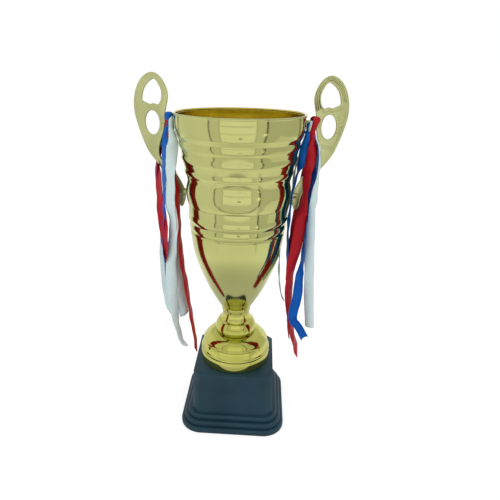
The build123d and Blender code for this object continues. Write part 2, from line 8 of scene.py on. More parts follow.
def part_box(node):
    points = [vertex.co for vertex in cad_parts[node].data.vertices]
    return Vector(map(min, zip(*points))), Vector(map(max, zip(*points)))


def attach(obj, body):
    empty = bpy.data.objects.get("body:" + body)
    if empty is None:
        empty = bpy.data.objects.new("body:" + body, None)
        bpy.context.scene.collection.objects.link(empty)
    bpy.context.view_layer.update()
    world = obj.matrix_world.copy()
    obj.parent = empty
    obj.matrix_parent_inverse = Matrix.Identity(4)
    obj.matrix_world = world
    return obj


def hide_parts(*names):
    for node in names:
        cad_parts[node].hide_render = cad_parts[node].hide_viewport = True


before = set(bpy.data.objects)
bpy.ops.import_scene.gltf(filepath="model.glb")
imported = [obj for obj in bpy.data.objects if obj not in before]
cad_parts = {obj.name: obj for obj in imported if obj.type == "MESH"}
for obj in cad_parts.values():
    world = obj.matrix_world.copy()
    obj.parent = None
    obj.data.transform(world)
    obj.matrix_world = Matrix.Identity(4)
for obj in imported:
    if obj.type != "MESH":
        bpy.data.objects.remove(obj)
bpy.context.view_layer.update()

MM = 0.001

# Heights read from the frame, in millimetres.
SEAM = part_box("upper_bowl")[0].z / MM
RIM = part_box("upper_bowl")[1].z / MM
CUP_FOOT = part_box("lower_cup")[0].z / MM
PLINTH_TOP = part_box("plinth_shell")[1].z / MM
STEM_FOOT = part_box("stem")[0].z / MM

# Sizes and places that several pieces share, in millimetres.
CUP_WALL = 0.9
RIM_RADIUS = 59.9
RIM_ROLL = 1.2
BULGE_RADIUS = 50.0
BAND_BULGE = 0.75
BULGE_RISE, BULGE_TOP_RISE = 11.1, 22.5
BANDS = (               # (radius, height above the seam) of each plain band's two ends
    ((50.1, 28.0), (51.0, 34.2)), ((52.9, 40.1), (53.7, 46.8)),
    ((54.7, 51.5), (55.9, 59.7)), ((58.3, 64.0), (59.5, 80.8)),
)
LOBE = SEAM + 8.6       # where a handle's lobe meets the bowl
PEG = LOBE + 66.0       # the short arm that the ribbons are tied to
HANDLE_HALF = 1.8       # half a handle's thickness
OVAL = (30.1, 64.0)     # centre of a handle's oval opening
BOLT_HOLE = 3.3
RIBBON_WIDTH = 11.0
RIBBON_THICKNESS = 0.3
RIBBON_COLUMNS = 12
RIBBON_END = 9.0        # length over which a tail's end narrows or slants
FRONT_SEAT = Vector((22, -422, 355))    # the ribbons hang turned towards this place in front

# Lines of a handle's moulding, as (outwards, up) from where its lobe meets the bowl:
# round the drop-shaped hole, the matching places on the plate's edge, the scalloped
# leaf under the hole, a line on the back, and the rib down the outside.
LOOP_HOLE = (
    (23.0, 80.4), (21.0, 86.0), (21.2, 92.6), (23.6, 99.0),
    (28.3, 102.0), (34.4, 98.8), (38.6, 93.0), (40.6, 86.0),
)
LOOP_EDGE = (
    (17.6, 76.5), (15.9, 86.0), (16.8, 95.0), (21.0, 101.6),
    (28.5, 106.4), (37.2, 102.3), (42.6, 94.4), (45.6, 84.0),
)
LEAF_EDGE = (
    (22.6, 80.0), (24.0, 77.4), (26.8, 76.6), (28.9, 78.4),
    (31.6, 77.2), (34.8, 77.8), (38.2, 79.2), (41.0, 81.8),
)
BACK_LINE = ((45.0, 80.0), (38.5, 77.8), (31.0, 76.6), (25.0, 73.6), (22.2, 66.0), (22.4, 57.0))
OUTER_RIB = ((43.6, 76.0), (42.4, 66.0), (38.8, 54.0), (35.4, 46.0))

# The studio, in metres and in strengths where 1 is white.
CAMERA_TURN, CAMERA_TILT, CAMERA_LEAN = math.radians(3.0), math.radians(68.38), math.radians(1.2)
CAMERA_DISTANCE, CAMERA_HEIGHT = 0.4226, 0.3546
ROOM_LIGHT = 0.86
TABLE_DROP = 0.0002     # the table lies this far under the trophy, so that they never share a face
TENT_FRONT, TENT_HALF_WIDTH, TENT_FOOT, TENT_HEIGHT = -0.215, 0.205, 0.11, 1.0
TENT_SIDE, TENT_ROOF, TENT_ROOF_HALF = 0.9, 1.15, 2.5
TENT_SEAM = 0.020
LEFT_WALL_GLOW, RIGHT_WALL_GLOW, ROOF_GLOW = 0.86, 0.66, 0.72
# glow of the tent floor by nearness to the trophy; the dim glow closest to it is painted shadow of the trophy
TENT_FLOOR_STOPS = ((0.40, 0.84), (0.60, 0.92), (0.72, 1.0), (0.87, 0.62))  # (nearness, glow)


# ------------------------------------------------------------------ camera and studio
def add_camera():
    """Looks down on the trophy from the front, a touch to its right."""
    camera = bpy.data.cameras.new("camera")
    camera.lens, camera.sensor_width = 32.4, 36.0
    camera.shift_x = 0.0254
    camera.clip_start = 0.01
    eye = bpy.data.objects.new("camera", camera)
    bpy.context.scene.collection.objects.link(eye)
    place = (CAMERA_DISTANCE * math.sin(CAMERA_TURN), -CAMERA_DISTANCE * math.cos(CAMERA_TURN), CAMERA_HEIGHT)
    aim = Matrix.Rotation(CAMERA_TURN, 4, "Z") @ Matrix.Rotation(CAMERA_TILT, 4, "X")
    aim = aim @ Matrix.Rotation(CAMERA_LEAN, 4, "Z")
    eye.matrix_world = Matrix.Translation(place) @ aim
    bpy.context.scene.camera = eye
    bpy.context.scene.view_settings.view_transform = "Standard"


def add_lamp(name, place, side, power):
    """A square soft lamp that faces the middle of the cup and isn't mirrored in it."""
    target = Vector((0, 0, 0.18))
    lamp = bpy.data.lights.new(name, "AREA")
    lamp.shape = "RECTANGLE"
    lamp.size = lamp.size_y = side
    lamp.energy = power
    holder = bpy.data.objects.new(name, lamp)
    bpy.context.scene.collection.objects.link(holder)
    holder.location = place
    holder.visible_glossy = False
    holder.rotation_euler = (target - Vector(place)).to_track_quat("-Z", "Y").to_euler()


def seen_or_mirrored(nodes, links):
    """One where the eye or a reflection looks, and nought where light falls."""
    path = nodes.new("ShaderNodeLightPath")
    seen = nodes.new("ShaderNodeMath")
    seen.operation = "MAXIMUM"
    links.new(path.outputs["Is Camera Ray"], seen.inputs[0])
    links.new(path.outputs["Is Glossy Ray"], seen.inputs[1])
    return seen.outputs[0]


def add_world():
    """White to the eye and in reflections, a little softer as light."""
    world = bpy.data.worlds.new("studio")
    bpy.context.scene.world = world
    world.use_nodes = True
    nodes, links = world.node_tree.nodes, world.node_tree.links
    backdrop = nodes["Background"]
    backdrop.inputs["Color"].default_value = (1, 1, 1, 1)
    room = nodes.new("ShaderNodeBackground")
    room.inputs["Color"].default_value = (1, 1, 1, 1)
    room.inputs["Strength"].default_value = ROOM_LIGHT
    mix = nodes.new("ShaderNodeMixShader")
    links.new(seen_or_mirrored(nodes, links), mix.inputs["Fac"])
    links.new(room.outputs[0], mix.inputs[1])
    links.new(backdrop.outputs[0], mix.inputs[2])
    links.new(mix.outputs[0], nodes["World Output"].inputs["Surface"])


def add_floor():
    """A white table that keeps the trophy's soft shadow."""
    bpy.ops.object.select_all(action="DESELECT")
    bpy.ops.mesh.primitive_plane_add(size=6.0, location=(0, 0, -TABLE_DROP))
    floor = bpy.context.object
    floor.name = "floor"
    material = bpy.data.materials.new("floor")
    material.use_nodes = True
    nodes, links = material.node_tree.nodes, material.node_tree.links
    shader = nodes["Principled BSDF"]
    shader.inputs["Base Color"].default_value = (0.3, 0.3, 0.3, 1)
    shader.inputs["Roughness"].default_value = 1.0
    shader.inputs["Specular IOR Level"].default_value = 0.0
    glow = nodes.new("ShaderNodeEmission")
    glow.inputs["Strength"].default_value = 0.76
    plain = nodes.new("ShaderNodeBsdfDiffuse")
    plain.inputs["Color"].default_value = (0.8, 0.8, 0.8, 1)
    lit = nodes.new("ShaderNodeAddShader")
    links.new(glow.outputs[0], lit.inputs[0])
    links.new(shader.outputs[0], lit.inputs[1])
    mix = nodes.new("ShaderNodeMixShader")
    links.new(seen_or_mirrored(nodes, links), mix.inputs["Fac"])
    links.new(plain.outputs[0], mix.inputs[1])
    links.new(lit.outputs[0], mix.inputs[2])
    links.new(mix.outputs[0], nodes["Material Output"].inputs["Surface"])
    floor.data.materials.append(material)


def glowing(piece, name):
    """Gives a piece of the tent a lit surface that only the trophy's reflections show."""
    piece.name = name
    material = bpy.data.materials.new(name)
    material.use_nodes = True
    nodes, links = material.node_tree.nodes, material.node_tree.links
    nodes.remove(nodes["Principled BSDF"])
    glow = nodes.new("ShaderNodeEmission")
    links.new(glow.outputs[0], nodes["Material Output"].inputs["Surface"])
    piece.data.materials.append(material)
    piece.visible_camera = piece.visible_diffuse = piece.visible_shadow = False
    piece.visible_transmission = False
    return nodes, links, glow


def add_card(name, low, high, depth, brightness, facing="front"):
    """A panel of the tent, from one corner to the other, at a depth."""
    bpy.ops.object.select_all(action="DESELECT")
    across, up = (low[0] + high[0]) / 2, (low[1] + high[1]) / 2
    middle, turn = {
        "front": ((across, depth, up), (math.radians(90), 0, 0)),
        "side": ((depth, across, up), (math.radians(90), 0, math.radians(90))),
        "down": ((across, up, depth), (0, 0, 0)),
    }[facing]
    bpy.ops.mesh.primitive_plane_add(size=1.0, location=middle, rotation=turn)
    card = bpy.context.object
    card.scale = (high[0] - low[0], high[1] - low[1], 1)
    _, _, glow = glowing(card, name)
    glow.inputs["Strength"].default_value = brightness


def add_tent_floor():
    """The tent's own floor, duller close to the trophy: its dim glow there is painted shadow of the trophy
    that the reflections show.
    """
    bpy.ops.object.select_all(action="DESELECT")
    bpy.ops.mesh.primitive_circle_add(vertices=64, radius=TENT_SIDE, fill_type="NGON", location=(0, 0, 0))
    sheet = bpy.context.object
    nodes, links, glow = glowing(sheet, "tent_floor")
    place = nodes.new("ShaderNodeTexCoord")
    nearness = nodes.new("ShaderNodeTexGradient")
    nearness.gradient_type = "SPHERICAL"
    links.new(place.outputs["Object"], nearness.inputs["Vector"])
    ramp = nodes.new("ShaderNodeValToRGB")
    links.new(nearness.outputs["Fac"], ramp.inputs["Fac"])
    stops = ramp.color_ramp.elements
    stops[0].position, stops[1].position = TENT_FLOOR_STOPS[0][0], TENT_FLOOR_STOPS[-1][0]
    for near, _ in TENT_FLOOR_STOPS[1:-1]:
        stops.new(near)
    for stop, (_, strength) in zip(stops, TENT_FLOOR_STOPS):
        stop.color = (strength, strength, strength, 1)
    links.new(ramp.outputs["Color"], glow.inputs["Color"])


def add_tent():
    """A light tent round the trophy: walls, roof, and a front with dark seams, a window and the lens."""
    half, foot, top = TENT_HALF_WIDTH, TENT_FOOT, TENT_HEIGHT
    behind, ahead = TENT_FRONT - 0.001, TENT_FRONT + 0.001
    fold_depth, lens_depth = ahead + 0.001, ahead + 0.002
    gap = half + 0.02
    window_left, window_right, window_foot, window_top = -0.105, 0.110, 0.175, 0.345
    add_card("tent_side_left", (-TENT_SIDE, 0.0), (-gap, top), behind, LEFT_WALL_GLOW)
    add_card("tent_side_right", (gap, 0.0), (TENT_SIDE, top), behind, RIGHT_WALL_GLOW)
    add_card("tent_left", (TENT_FRONT, 0.0), (TENT_SIDE, top), -TENT_SIDE, LEFT_WALL_GLOW, "side")
    add_card("tent_right", (TENT_FRONT, 0.0), (TENT_SIDE, top), TENT_SIDE, RIGHT_WALL_GLOW, "side")
    add_card("tent_roof", (-TENT_ROOF_HALF, -TENT_ROOF_HALF), (TENT_ROOF_HALF, TENT_ROOF_HALF),
             TENT_ROOF, ROOF_GLOW, "down")
    add_card("tent_wall", (-half, foot), (half, top), TENT_FRONT, 0.78)
    add_card("tent_seam_left", (-half - TENT_SEAM, foot), (-half, top), ahead, 0.16)
    add_card("tent_seam_right", (half, foot), (half + TENT_SEAM * 1.2, top), ahead, 0.08)
    add_card("tent_seam_foot", (-half - TENT_SEAM, foot - 0.010), (half + TENT_SEAM, foot), ahead, 0.2)
    add_card("tent_window", (window_left, window_foot), (window_right, window_top), ahead, 1.06)
    fold_left, fold_right = window_left + 0.010, window_right - 0.010
    for index, (low, high) in enumerate(((0.190, 0.194), (0.252, 0.256), (0.302, 0.308))):
        add_card("tent_fold_%d" % index, (fold_left, low), (fold_right, high), fold_depth, 0.62)
    flaps = (("left", window_left - 0.007, window_left), ("right", window_right, window_right + 0.007))
    for side, low, high in flaps:
        add_card("tent_flap_" + side, (low, window_foot), (high, window_top), fold_depth, 0.55)
    add_card("tent_lamp", (0.176, 0.220), (0.216, 0.238), lens_depth, 1.5)
    add_card("lens", (0.006, 0.222), (0.026, 0.229), lens_depth, 0.04)


# ------------------------------------------------------------------ drawing helpers
def eased(*corners):
    """A run of (radius, height, rounding) corners in millimetres, each rounded off."""
    steps = 5
    points = [corners[0][:2]]
    for before, corner, after in zip(corners, corners[1:], corners[2:]):
        here = Vector(corner[:2])
        back, ahead = Vector(before[:2]) - here, Vector(after[:2]) - here
        reach = min(corner[2], back.length * 0.49, ahead.length * 0.49)
        start, end = here + back.normalized() * reach, here + ahead.normalized() * reach
        if reach < 0.01:
            points.append(tuple(here))
            continue
        for step in range(steps + 1):
            t = step / steps
            points.append(tuple((1 - t) ** 2 * start + 2 * t * (1 - t) * here + t * t * end))
    return points + [corners[-1][:2]]


def flow(*knots, steps=6):
    """A smooth run through the given points of a profile."""
    knots = [Vector(knot) for knot in knots]
    ends = [2 * knots[0] - knots[1]] + knots + [2 * knots[-1] - knots[-2]]
    points = []
    for a, b, c, d in zip(ends, ends[1:], ends[2:], ends[3:]):
        for step in range(steps):
            t = step / steps
            bend = 2 * b + (c - a) * t + (2 * a - 5 * b + 4 * c - d) * t**2 + (3 * b - a - 3 * c + d) * t**3
            points.append(tuple(bend * 0.5))
    return points + [tuple(knots[-1])]


def lined(outside, wall):
    """The inside of a wall, running back along a profile."""
    inside = []
    for index, point in enumerate(outside):
        before = Vector(outside[max(index - 1, 0)])
        after = Vector(outside[min(index + 1, len(outside) - 1)])
        along = (after - before).normalized()
        inside.append((point[0] - along.y * wall, point[1] + along.x * wall))
    return inside[::-1]


def clear_selection():
    if bpy.context.object and bpy.context.object.mode == "EDIT":
        bpy.ops.object.mode_set(mode="OBJECT")
    bpy.ops.object.select_all(action="DESELECT")


def finished(piece, name, slot, *nodes):
    """Bakes the piece's place into its mesh, names it and sets it in the frame."""
    clear_selection()
    piece.select_set(True)
    bpy.context.view_layer.objects.active = piece
    bpy.ops.object.transform_apply(location=True, rotation=True, scale=True)
    piece.name = name
    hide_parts(*nodes)
    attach(piece, "root")
    return piece


def turned(profile):
    """A ring drawn at the profile's first point, then extruded and scaled round to that point again."""
    clear_selection()
    radius, height = profile[0]
    bpy.ops.mesh.primitive_circle_add(vertices=160, radius=radius * MM, location=(0, 0, height * MM))
    piece = bpy.context.object
    bpy.ops.object.mode_set(mode="EDIT")
    bpy.ops.mesh.select_all(action="SELECT")
    for (radius, height), (next_radius, next_height) in zip(profile, profile[1:] + profile[:1]):
        rise = (next_height - height) * MM
        bpy.ops.mesh.extrude_region_move(TRANSFORM_OT_translate={"value": (0, 0, rise)})
        scale = next_radius / radius
        bpy.ops.transform.resize(value=(scale, scale, 1), center_override=(0, 0, next_height * MM))
    bpy.ops.mesh.select_all(action="SELECT")
    bpy.ops.mesh.remove_doubles(threshold=0.000001)
    bpy.ops.mesh.normals_make_consistent(inside=False)
    bpy.ops.object.mode_set(mode="OBJECT")
    bpy.ops.object.shade_smooth_by_angle(angle=math.radians(32))
    return piece


# ------------------------------------------------------------------ finishes
def finish(name, colour, metallic, roughness):
    """A material with a principled shader, and the parts of its node tree."""
    material = bpy.data.materials.new(name)
    material.use_nodes = True
    nodes, links = material.node_tree.nodes, material.node_tree.links
    shader = nodes["Principled BSDF"]
    shader.inputs["Base Color"].default_value = (*colour, 1)
    shader.inputs["Metallic"].default_value = metallic
    shader.inputs["Roughness"].default_value = roughness
    return material, nodes, links, shader


def grain(nodes, links, scale, stretch=(1, 1, 1), detail=3.0):
    """Noise over the object, stretched along its axes."""
    place = nodes.new("ShaderNodeTexCoord")
    mapping = nodes.new("ShaderNodeMapping")
    mapping.inputs["Scale"].default_value = stretch
    noise = nodes.new("ShaderNodeTexNoise")
    noise.inputs["Scale"].default_value = scale
    noise.inputs["Detail"].default_value = detail
    links.new(place.outputs["Object"], mapping.inputs["Vector"])
    links.new(mapping.outputs["Vector"], noise.inputs["Vector"])
    return noise.outputs["Fac"]


def shaded(nodes, links, fac, dark, light, low=0.35, high=0.65):
    """A colour that wanders between two tones."""
    ramp = nodes.new("ShaderNodeValToRGB")
    ramp.color_ramp.elements[0].position, ramp.color_ramp.elements[1].position = low, high
    ramp.color_ramp.elements[0].color = (*dark, 1)
    ramp.color_ramp.elements[1].color = (*light, 1)
    links.new(fac, ramp.inputs["Fac"])
    return ramp.outputs["Color"]


def spread(nodes, links, fac, low, high):
    """A number that wanders between two values."""
    span = nodes.new("ShaderNodeMapRange")
    span.inputs["To Min"].default_value, span.inputs["To Max"].default_value = low, high
    links.new(fac, span.inputs["Value"])
    return span.outputs["Result"]


def raised(nodes, links, shader, height, depth, before=None):
    """Bump of a depth in metres, on top of any bump before it."""
    bump = nodes.new("ShaderNodeBump")
    bump.inputs["Distance"].default_value = depth
    links.new(height, bump.inputs["Height"])
    if before:
        links.new(before.outputs["Normal"], bump.inputs["Normal"])
    links.new(bump.outputs["Normal"], shader.inputs["Normal"])
    return bump


def spun_gold():
    """Bright spun metal with very fine lines round it."""
    material, nodes, links, shader = finish("spun_gold", (0.55, 0.56, 0.21), 1.0, 0.1)
    tone = grain(nodes, links, 14.0)
    colour = shaded(nodes, links, tone, (0.51, 0.525, 0.19), (0.585, 0.59, 0.235))
    links.new(colour, shader.inputs["Base Color"])
    lines = grain(nodes, links, 1.0, (6, 6, 2600), 2.0)
    links.new(spread(nodes, links, lines, 0.06, 0.15), shader.inputs["Roughness"])
    waves = raised(nodes, links, shader, grain(nodes, links, 30.0, (1, 1, 0.5), 1.0), 0.00006)
    raised(nodes, links, shader, lines, 0.000002, waves)
    return material


def gold_painted_bounce():
    """The inside of the bowl, deeper in colour than the outside: the deeper, yellower colour is painted
    reflection of light bouncing between the gold walls.
    """
    material, nodes, links, shader = finish("gold_painted_bounce", (0.66, 0.55, 0.09), 1.0, 0.14)
    tone = grain(nodes, links, 14.0)
    links.new(shaded(nodes, links, tone, (0.60, 0.49, 0.07), (0.74, 0.62, 0.12)), shader.inputs["Base Color"])
    lines = grain(nodes, links, 1.0, (6, 6, 2200), 2.0)
    links.new(spread(nodes, links, lines, 0.12, 0.22), shader.inputs["Roughness"])
    raised(nodes, links, shader, lines, 0.000002)
    return material


def plated_gold_painted_reflection():
    """Metallised plastic of the stem and bell, a little yellower and wavier; the yellower tone is partly
    painted reflection of the gold bowl above.
    """
    # the yellower base colours are partly painted reflection of the bowl's gold
    material, nodes, links, shader = finish("plated_gold_painted_reflection", (0.55, 0.54, 0.13), 1.0, 0.07)
    tone = grain(nodes, links, 30.0)
    links.new(shaded(nodes, links, tone, (0.50, 0.49, 0.10), (0.60, 0.59, 0.16)), shader.inputs["Base Color"])
    links.new(spread(nodes, links, grain(nodes, links, 90.0), 0.05, 0.12), shader.inputs["Roughness"])
    raised(nodes, links, shader, grain(nodes, links, 60.0, detail=1.0), 0.00003)
    return material


def handle_gold():
    """Duller metallised skin of the handles, with a fine cast texture."""
    material, nodes, links, shader = finish("handle_gold", (0.53, 0.54, 0.25), 0.78, 0.3)
    tone = grain(nodes, links, 40.0)
    links.new(shaded(nodes, links, tone, (0.49, 0.50, 0.22), (0.57, 0.58, 0.28)), shader.inputs["Base Color"])
    fine = grain(nodes, links, 900.0)
    links.new(spread(nodes, links, tone, 0.22, 0.32), shader.inputs["Roughness"])
    raised(nodes, links, shader, fine, 0.00002)
    return material


def painted_groove_shade():
    """Painted shade: a dull dark brown laid in the lines round a handle's top opening, standing in for the
    shadow in the moulding's creases.
    """
    material, nodes, links, shader = finish("painted_groove_shade", (0.16, 0.13, 0.06), 0.6, 0.5)
    tone = grain(nodes, links, 300.0)
    colour = shaded(nodes, links, tone, (0.10, 0.08, 0.035), (0.24, 0.20, 0.09))
    links.new(colour, shader.inputs["Base Color"])
    links.new(spread(nodes, links, tone, 0.4, 0.6), shader.inputs["Roughness"])
    return material


def plinth_plastic():
    """Dark slate moulding with a slightly pebbled skin."""
    material, nodes, links, shader = finish("plinth_plastic", (0.011, 0.040, 0.060), 0.0, 0.34)
    tone = grain(nodes, links, 25.0)
    colour = shaded(nodes, links, tone, (0.009, 0.034, 0.052), (0.013, 0.046, 0.068))
    links.new(colour, shader.inputs["Base Color"])
    shader.inputs["Specular IOR Level"].default_value = 0.24
    links.new(spread(nodes, links, grain(nodes, links, 60.0), 0.24, 0.36), shader.inputs["Roughness"])
    raised(nodes, links, shader, grain(nodes, links, 1400.0, detail=2.0), 0.00001)
    return material


def satin(name, dark, light):
    """Woven satin: fine threads along the ribbon, laid on its own map."""
    material, nodes, links, shader = finish(name, light, 0.0, 0.4)
    place = nodes.new("ShaderNodeTexCoord")
    mapping = nodes.new("ShaderNodeMapping")
    mapping.inputs["Scale"].default_value = (60, 6, 1)
    noise = nodes.new("ShaderNodeTexNoise")
    noise.inputs["Scale"].default_value = 1.0
    noise.inputs["Detail"].default_value = 4.0
    links.new(place.outputs["UV"], mapping.inputs["Vector"])
    links.new(mapping.outputs["Vector"], noise.inputs["Vector"])
    links.new(shaded(nodes, links, noise.outputs["Fac"], dark, light), shader.inputs["Base Color"])
    shader.inputs["Specular IOR Level"].default_value = 0.12
    shader.inputs["Sheen Weight"].default_value = 0.02
    shader.inputs["Sheen Roughness"].default_value = 0.4
    raised(nodes, links, shader, noise.outputs["Fac"], 0.00008)
    return material


def zinc():
    """Plated steel of the bolt, screws, nut and washers."""
    material, nodes, links, shader = finish("zinc", (0.60, 0.60, 0.57), 1.0, 0.3)
    tone = grain(nodes, links, 200.0)
    links.new(shaded(nodes, links, tone, (0.52, 0.52, 0.50), (0.66, 0.66, 0.62)), shader.inputs["Base Color"])
    links.new(spread(nodes, links, tone, 0.22, 0.4), shader.inputs["Roughness"])
    return material


def plain_grain(name, dark, light, scale, roughness, depth):
    """Felt, board and cast filler: a coarse dull surface."""
    material, nodes, links, shader = finish(name, light, 0.0, roughness)
    tone = grain(nodes, links, scale, detail=8.0)
    links.new(shaded(nodes, links, tone, dark, light), shader.inputs["Base Color"])
    raised(nodes, links, shader, tone, depth)
    return material


def line_inside(piece, material):
    """Gives the faces that look towards the trophy's axis a second material."""
    piece.data.materials.append(material)
    for face in piece.data.polygons:
        outwards = Vector((face.center.x, face.center.y, 0)).normalized()
        if face.normal.dot(outwards) < -0.05:
            face.material_index = 1


def dress(material, *nodes):
    """Gives CAD nodes a finish."""
    for node in nodes:
        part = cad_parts[node]
        part.data.materials.clear()
        part.data.materials.append(material)


# ------------------------------------------------------------------ bowl, stem and bell
def upper_bowl():
    """Bulge, four plain bands that step outwards, and a rolled rim."""
    outside = flow((48.5, SEAM + 1.0), (49.2, SEAM + 4.6), (BULGE_RADIUS, SEAM + BULGE_RISE),
                   (49.7, SEAM + 17.0), steps=5)[:-1]
    corners = [(49.7, SEAM + 17.0, 0), (48.7, SEAM + BULGE_TOP_RISE, 2.0)]
    for (low, foot), (high, top) in BANDS:
        corners.append((low, SEAM + foot, 0.9))
        for share in (0.25, 0.5, 0.75):
            swell = BAND_BULGE * 4 * share * (1 - share)
            corners.append((low + (high - low) * share + swell, SEAM + foot + (top - foot) * share, 3.0))
        corners.append((high, SEAM + top, 0.9))
    outside += eased(*corners, (59.5, RIM - 2.2, 0))
    centre = (RIM_RADIUS - CUP_WALL / 2, RIM - RIM_ROLL)
    rim = []
    for step in range(13):
        angle = math.radians(-50 + step * 280 / 12)
        rim.append((centre[0] + RIM_ROLL * math.cos(angle), centre[1] + RIM_ROLL * math.sin(angle)))
    inside = lined(outside, CUP_WALL)
    edge = [(46.6, SEAM + 2.0), (46.6, SEAM + 0.4), (47.0, SEAM), (48.0, SEAM), (48.4, SEAM + 0.4)]
    return turned(outside + rim + inside[2:] + edge)


def lower_cup():
    """Egg-shaped lower half with two beads under its plain band, and a neck inside the bulge."""
    egg = flow((15.4, CUP_FOOT), (18.6, CUP_FOOT + 4.9), (25.5, CUP_FOOT + 16.9), (31.4, CUP_FOOT + 29.0),
               (38.2, CUP_FOOT + 45.8), (43.3, CUP_FOOT + 63.0), (46.5, CUP_FOOT + 84.0))
    beads = eased(
        (46.5, SEAM - 27.6, 0), (45.5, SEAM - 26.2, 0.7),
        (46.2, SEAM - 24.9, 0.8), (47.3, SEAM - 21.4, 3.0),
        (46.6, SEAM - 18.0, 0.8), (46.5, SEAM - 17.2, 0.7),
        (47.2, SEAM - 15.9, 0.8), (48.5, SEAM - 13.0, 3.0),
        (47.9, SEAM - 9.9, 1.0), (47.7, SEAM - 9.0, 0.6), (47.8, SEAM - 5.0, 1.0), (47.8, SEAM - 0.1, 0))
    outside = egg + beads[1:]
    inside = [point for point in lined(outside, CUP_WALL) if CUP_FOOT + CUP_WALL < point[1] < SEAM - 1.6]
    neck = [(47.5, SEAM), (46.4, SEAM), (46.4, SEAM + 4.3), (45.5, SEAM + 4.4), (45.5, SEAM - 1.0)]
    floor = [(14.9, CUP_FOOT + CUP_WALL), (5.7, CUP_FOOT + CUP_WALL), (5.7, CUP_FOOT)]
    return turned(outside + neck + inside + floor)


def stem():
    """Bead, step and waisted neck, hollow for the tie bolt."""
    foot, top = STEM_FOOT, CUP_FOOT
    outside = flow((20.6, foot), (21.4, foot + 2.5), (21.5, foot + 5.0),
                   (20.6, foot + 8.6), (18.9, foot + 11.9))
    outside += eased((18.9, foot + 11.9, 0), (18.3, foot + 12.9, 0.6), (15.6, foot + 13.9, 1.2),
                     (14.2, foot + 17.5, 3.0), (14.0, foot + 22.5, 3.0), (15.2, foot + 26.4, 1.5),
                     (15.4, foot + 29.2, 0.4), (15.2, top, 0))[1:]
    bore = [(5.5, top), (5.5, top + 0.7), (BOLT_HOLE, top + 0.7), (BOLT_HOLE, top - 2.4), (11.5, top - 2.4),
            (11.5, foot + 10.0), (15.2, foot + 10.0), (15.2, foot)]
    return turned(outside + bore)


def bell():
    """Upright lip, two thin ridges and a domed top, with a collar inside the stem."""
    foot, top = PLINTH_TOP, STEM_FOOT
    outside = eased(
        (36.2, foot, 0), (37.0, foot + 0.7, 0.6), (36.9, foot + 8.6, 1.2), (36.2, foot + 10.2, 0.8),
        (36.1, foot + 11.6, 0.4), (36.9, foot + 12.6, 0.7),
        (36.7, foot + 14.1, 0.7), (35.7, foot + 14.9, 0.5),
        (34.9, foot + 19.0, 3.0), (34.0, foot + 21.6, 0.5),
        (34.4, foot + 22.5, 0.7), (33.9, foot + 23.8, 0.7),
        (32.8, foot + 24.5, 0.5), (30.4, foot + 27.8, 3.0),
        (26.4, foot + 30.8, 2.0), (22.0, foot + 32.3, 2.0),
        (15.0, top, 0))
    collar = [(15.0, top + 3.0), (BOLT_HOLE, top + 3.0), (BOLT_HOLE, top - 2.0), (20.0, top - 2.2)]
    inside = [(26.0, foot + 28.6), (30.0, foot + 25.5), (32.4, foot + 20.0),
              (33.6, foot + 12.0), (34.8, foot + 8.0), (35.0, foot)]
    return turned(outside + collar + inside)


# ------------------------------------------------------------------ moulded pieces
def softened(node, width, segments=3, limit=38):
    """A copy of a moulded CAD piece with its sharp edges rounded."""
    clear_selection()
    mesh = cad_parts[node].data.copy()
    mesh.materials.clear()
    piece = bpy.data.objects.new(node + "_copy", mesh)
    bpy.context.scene.collection.objects.link(piece)
    piece.select_set(True)
    bpy.context.view_layer.objects.active = piece
    bpy.ops.object.mode_set(mode="EDIT")
    bpy.ops.mesh.select_all(action="SELECT")
    bpy.ops.mesh.remove_doubles(threshold=0.000002)
    bpy.ops.mesh.normals_make_consistent(inside=False)
    bpy.ops.object.mode_set(mode="OBJECT")
    rounding = piece.modifiers.new("rounding", "BEVEL")
    rounding.width = width * MM
    rounding.segments = segments
    rounding.limit_method = "ANGLE"
    rounding.angle_limit = math.radians(limit)
    rounding.harden_normals = False
    bpy.ops.object.modifier_apply(modifier="rounding")
    bpy.ops.object.shade_smooth_by_angle(angle=math.radians(40))
    return piece


def ridge(points, radius, face):
    """A rounded bead of the moulding laid on a handle's face along (outwards, up) points."""
    clear_selection()
    curve = bpy.data.curves.new("ridge", "CURVE")
    curve.dimensions = "3D"
    curve.bevel_depth = radius * MM
    curve.bevel_resolution = 3
    curve.resolution_u = 6
    curve.use_fill_caps = True
    line = curve.splines.new("BEZIER")
    line.bezier_points.add(len(points) - 1)
    for knot, (out, up) in zip(line.bezier_points, points):
        knot.co = ((BULGE_RADIUS + out) * MM, face * MM, (LOBE + up) * MM)
        knot.handle_left_type = knot.handle_right_type = "AUTO"
    bead = bpy.data.objects.new("ridge", curve)
    bpy.context.scene.collection.objects.link(bead)
    bead.select_set(True)
    bpy.context.view_layer.objects.active = bead
    bpy.ops.object.convert(target="MESH")
    return bpy.context.object


def between(inner, outer, share):
    """A line of the moulding that runs at a share of the way from one outline to another."""
    return [(a[0] + (b[0] - a[0]) * share, a[1] + (b[1] - a[1]) * share) for a, b in zip(inner, outer)]


